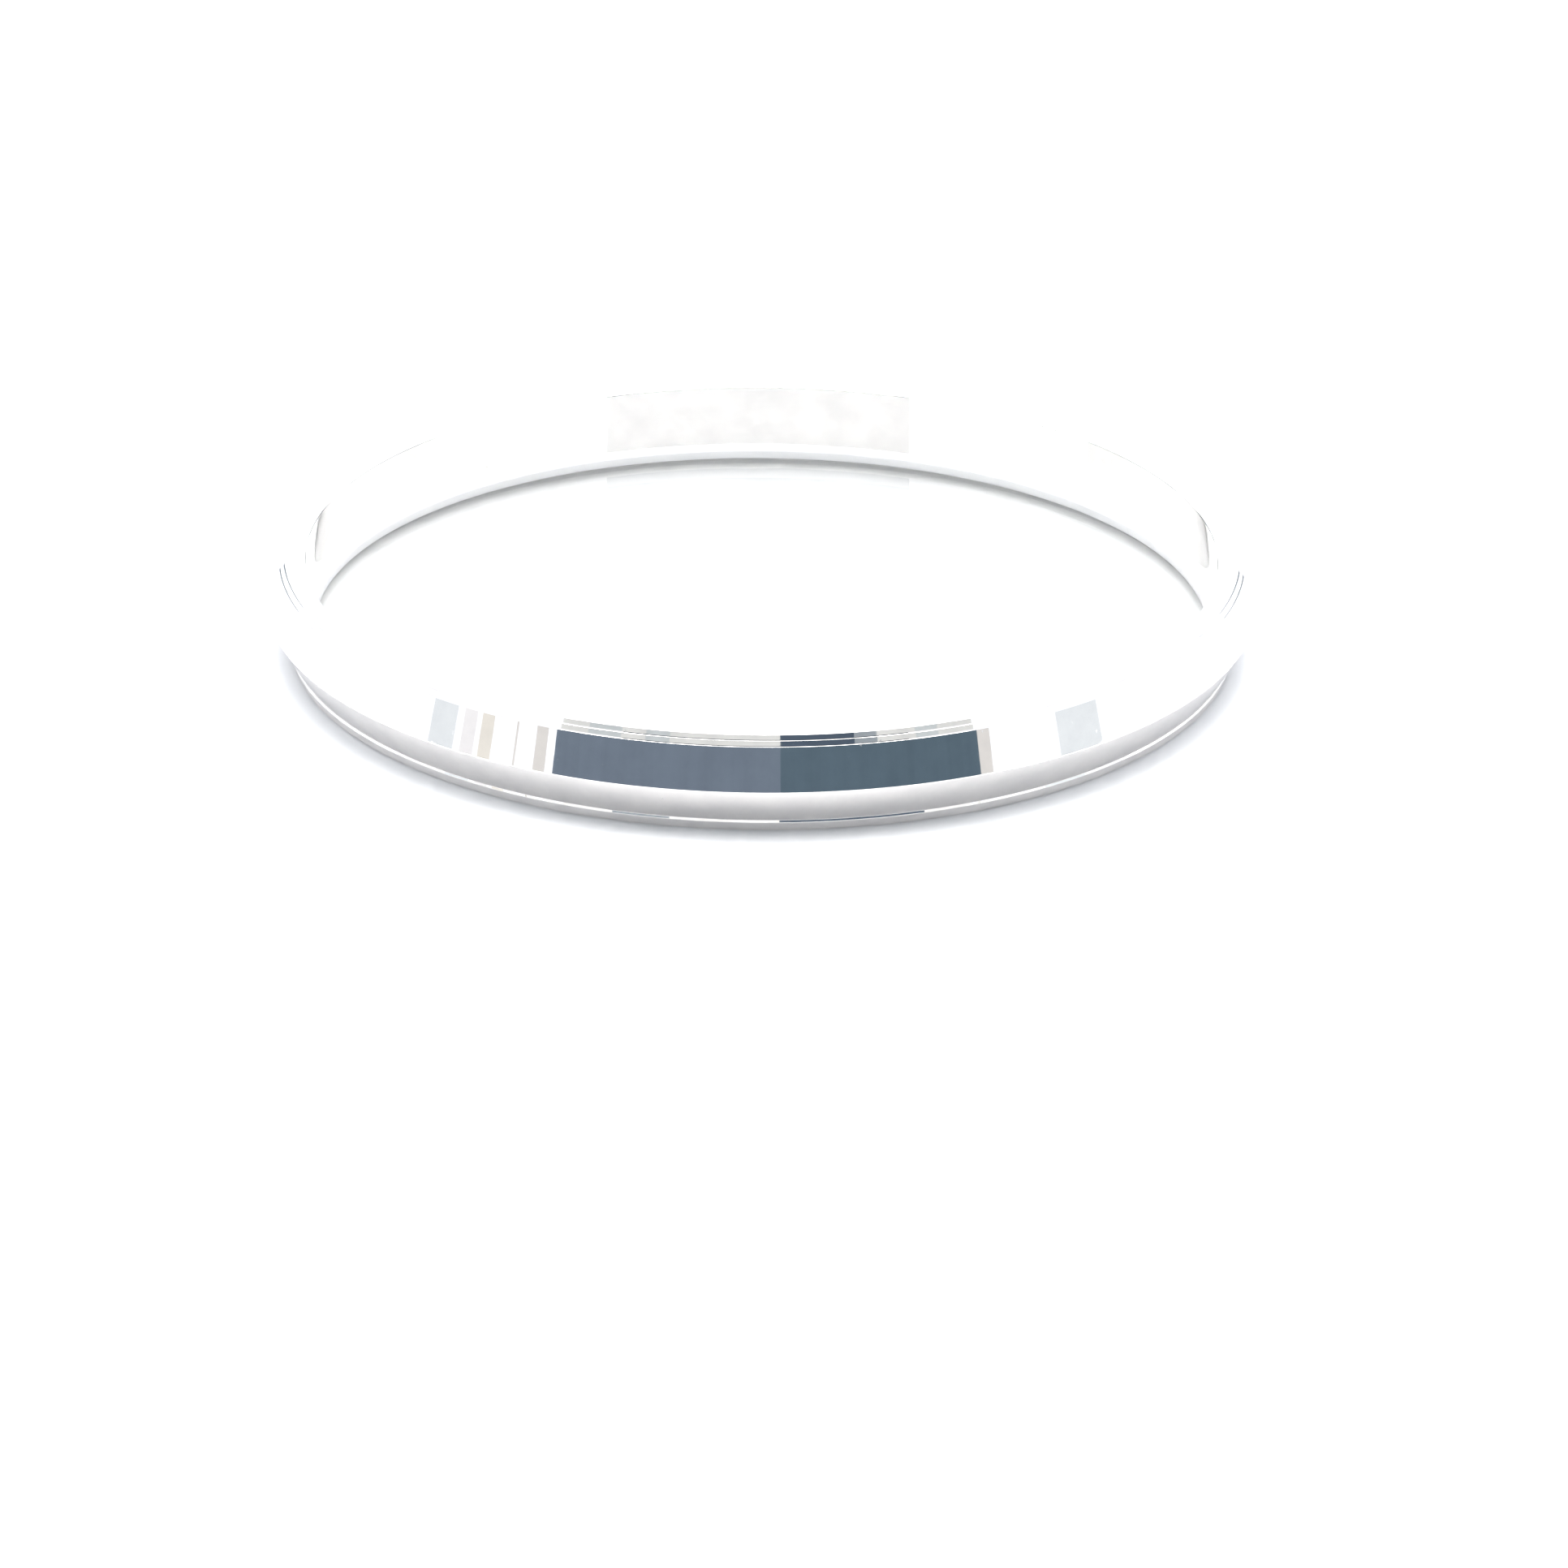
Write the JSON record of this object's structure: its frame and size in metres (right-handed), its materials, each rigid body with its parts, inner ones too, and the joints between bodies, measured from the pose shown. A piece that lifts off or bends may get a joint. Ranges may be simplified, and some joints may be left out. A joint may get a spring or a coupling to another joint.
{
  "type": "watch glass",
  "caption": "Flat mineral watch glass pressed with a nylon gasket into a polished round steel ring with a stepped rim, an undercut flank and a plain bore.",
  "frame": {"origin": "on the ring's axis, at the underside of the foot that it stands on", "axes": "+Z along the axis, from the glass side up to the open mouth of the bore; X and Y are alike"},
  "size_m": [0.04, 0.04, 0.0041],
  "materials": {
    "polished_steel": "mirror polished",
    "white_nylon": "smooth moulded",
    "mineral_glass": "clear polished"
  },
  "bodies": {
    "root": {"ring": "polished_steel", "gasket": "white_nylon", "glass": "mineral_glass"}
  },
  "joints": []
}
